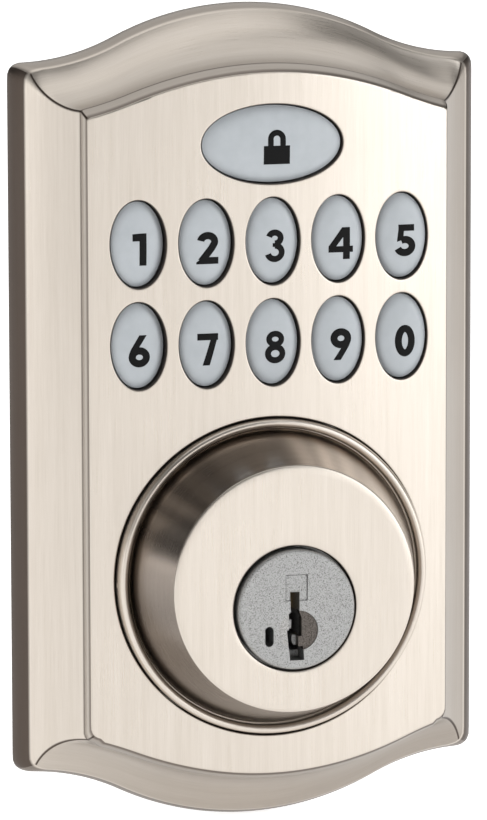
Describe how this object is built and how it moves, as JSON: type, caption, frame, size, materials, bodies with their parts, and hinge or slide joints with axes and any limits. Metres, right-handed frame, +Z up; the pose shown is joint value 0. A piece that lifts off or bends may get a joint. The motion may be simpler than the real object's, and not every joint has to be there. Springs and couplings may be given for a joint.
{
  "type": "keypad smart lock",
  "caption": "Arched brushed-nickel keypad lock with oval keys, a long lock button and a round key cylinder with a torque blade for the door.",
  "frame": {"origin": "centre of the adapter ring on the key plug's axis, at the door's outside face", "axes": "+Y along the key plug's axis, into the door; -Y is the keypad's face; +Z up"},
  "size_m": [0.072, 0.0949, 0.1228],
  "materials": {
    "satin_nickel": "satin, brushed upright",
    "dark_nickel": "polished satin",
    "key_cap": "translucent, satin",
    "silicone": "matt",
    "clear_acrylic": "clear",
    "board_green": "solder resist",
    "switch_steel": "bright",
    "led_white": "moulded",
    "chip_black": "moulded",
    "black_plastic": "fine texture",
    "foam_black": "closed-cell foam",
    "zinc_cast": "die-cast zinc",
    "plug_nickel": "bead blasted",
    "hard_steel": "ground",
    "screw_steel": "zinc plated",
    "tumbler_brass": "machined",
    "spring_steel": "drawn wire",
    "ring_grey": "moulded"
  },
  "bodies": {
    "lock_case": {"backlight_leds": "led_white", "board_components": "chip_black", "board_screws": "screw_steel", "bore_ring": "ring_grey", "cable_gland": "foam_black", "cable_socket": "led_white", "circuit_board": "board_green", "collar_screws": "screw_steel", "collar_seal": "foam_black", "controller_chip": "chip_black", "cover_screws": "screw_steel", "cylinder_body": "zinc_cast", "cylinder_collar": "dark_nickel", "dome_switches": "switch_steel", "door_seal": "foam_black", "housing": "satin_nickel", "keypad_membrane": "silicone", "light_guide": "clear_acrylic", "rear_cover": "black_plastic", "sounder": "black_plastic"},
    "key_1_body": {"key_1": "key_cap"},
    "key_2_body": {"key_2": "key_cap"},
    "key_3_body": {"key_3": "key_cap"},
    "key_4_body": {"key_4": "key_cap"},
    "key_5_body": {"key_5": "key_cap"},
    "key_6_body": {"key_6": "key_cap"},
    "key_7_body": {"key_7": "key_cap"},
    "key_8_body": {"key_8": "key_cap"},
    "key_9_body": {"key_9": "key_cap"},
    "key_0_body": {"key_0": "key_cap"},
    "lock_button_body": {"lock_button": "key_cap"},
    "plug_body": {"key_plug": "plug_nickel", "guard_disc": "hard_steel", "guard_block": "hard_steel", "sidebar_springs": "spring_steel", "plug_clip": "spring_steel", "driver_cam": "zinc_cast", "cam_cap": "hard_steel", "cam_screws": "screw_steel", "tumbler_spring_1": "spring_steel", "tumbler_spring_2": "spring_steel", "tumbler_spring_3": "spring_steel", "tumbler_spring_4": "spring_steel", "tumbler_spring_5": "spring_steel"},
    "tumbler_1_body": {"tumbler_pin_1": "tumbler_brass", "tumbler_rack_1": "tumbler_brass"},
    "tumbler_2_body": {"tumbler_pin_2": "tumbler_brass", "tumbler_rack_2": "tumbler_brass"},
    "tumbler_3_body": {"tumbler_pin_3": "tumbler_brass", "tumbler_rack_3": "tumbler_brass"},
    "tumbler_4_body": {"tumbler_pin_4": "tumbler_brass", "tumbler_rack_4": "tumbler_brass"},
    "tumbler_5_body": {"tumbler_pin_5": "tumbler_brass", "tumbler_rack_5": "tumbler_brass"},
    "sidebar_body": {"sidebar": "tumbler_brass"},
    "blade_body": {"torque_blade": "hard_steel"}
  },
  "joints": [
    {"name": "key_1_press", "type": "slide", "parent": "lock_case", "child": "key_1_body", "axis": [0, 1, 0], "range_m": [0, 0.00085], "stiffness_N_per_m": 900, "springref_m": -0.0004, "deforming": ["keypad_membrane"]},
    {"name": "key_2_press", "type": "slide", "parent": "lock_case", "child": "key_2_body", "axis": [0, 1, 0], "range_m": [0, 0.00085], "stiffness_N_per_m": 900, "springref_m": -0.0004, "deforming": ["keypad_membrane"]},
    {"name": "key_3_press", "type": "slide", "parent": "lock_case", "child": "key_3_body", "axis": [0, 1, 0], "range_m": [0, 0.00085], "stiffness_N_per_m": 900, "springref_m": -0.0004, "deforming": ["keypad_membrane"]},
    {"name": "key_4_press", "type": "slide", "parent": "lock_case", "child": "key_4_body", "axis": [0, 1, 0], "range_m": [0, 0.00085], "stiffness_N_per_m": 900, "springref_m": -0.0004, "deforming": ["keypad_membrane"]},
    {"name": "key_5_press", "type": "slide", "parent": "lock_case", "child": "key_5_body", "axis": [0, 1, 0], "range_m": [0, 0.00085], "stiffness_N_per_m": 900, "springref_m": -0.0004, "deforming": ["keypad_membrane"]},
    {"name": "key_6_press", "type": "slide", "parent": "lock_case", "child": "key_6_body", "axis": [0, 1, 0], "range_m": [0, 0.00085], "stiffness_N_per_m": 900, "springref_m": -0.0004, "deforming": ["keypad_membrane"]},
    {"name": "key_7_press", "type": "slide", "parent": "lock_case", "child": "key_7_body", "axis": [0, 1, 0], "range_m": [0, 0.00085], "stiffness_N_per_m": 900, "springref_m": -0.0004, "deforming": ["keypad_membrane"]},
    {"name": "key_8_press", "type": "slide", "parent": "lock_case", "child": "key_8_body", "axis": [0, 1, 0], "range_m": [0, 0.00085], "stiffness_N_per_m": 900, "springref_m": -0.0004, "deforming": ["keypad_membrane"]},
    {"name": "key_9_press", "type": "slide", "parent": "lock_case", "child": "key_9_body", "axis": [0, 1, 0], "range_m": [0, 0.00085], "stiffness_N_per_m": 900, "springref_m": -0.0004, "deforming": ["keypad_membrane"]},
    {"name": "key_0_press", "type": "slide", "parent": "lock_case", "child": "key_0_body", "axis": [0, 1, 0], "range_m": [0, 0.00085], "stiffness_N_per_m": 900, "springref_m": -0.0004, "deforming": ["keypad_membrane"]},
    {"name": "lock_button_press", "type": "slide", "parent": "lock_case", "child": "lock_button_body", "axis": [0, 1, 0], "range_m": [0, 0.00085], "stiffness_N_per_m": 900, "springref_m": -0.0004, "deforming": ["keypad_membrane"]},
    {"name": "plug_turn", "type": "hinge", "parent": "lock_case", "child": "plug_body", "pos_m": [0, -0.015, 0], "axis": [0, 1, 0], "range_deg": [-90, 90]},
    {"name": "tumbler_1_lift", "type": "slide", "parent": "plug_body", "child": "tumbler_1_body", "axis": [0, 0, 1], "range_m": [0, 0.0016], "stiffness_N_per_m": 120, "springref_m": -0.001, "deforming": ["tumbler_spring_1"]},
    {"name": "tumbler_2_lift", "type": "slide", "parent": "plug_body", "child": "tumbler_2_body", "axis": [0, 0, 1], "range_m": [0, 0.0016], "stiffness_N_per_m": 120, "springref_m": -0.001, "deforming": ["tumbler_spring_2"]},
    {"name": "tumbler_3_lift", "type": "slide", "parent": "plug_body", "child": "tumbler_3_body", "axis": [0, 0, 1], "range_m": [0, 0.0016], "stiffness_N_per_m": 120, "springref_m": -0.001, "deforming": ["tumbler_spring_3"]},
    {"name": "tumbler_4_lift", "type": "slide", "parent": "plug_body", "child": "tumbler_4_body", "axis": [0, 0, 1], "range_m": [0, 0.0016], "stiffness_N_per_m": 120, "springref_m": -0.001, "deforming": ["tumbler_spring_4"]},
    {"name": "tumbler_5_lift", "type": "slide", "parent": "plug_body", "child": "tumbler_5_body", "axis": [0, 0, 1], "range_m": [0, 0.0016], "stiffness_N_per_m": 120, "springref_m": -0.001, "deforming": ["tumbler_spring_5"]},
    {"name": "sidebar_slide", "type": "slide", "parent": "plug_body", "child": "sidebar_body", "axis": [1, 0, 0], "range_m": [0, 0.0008], "deforming": ["sidebar_springs"]},
    {"name": "blade_turn", "type": "hinge", "parent": "plug_body", "child": "blade_body", "pos_m": [0, 0.03, 0], "axis": [0, 1, 0], "range_deg": [0, 90]}
  ]
}
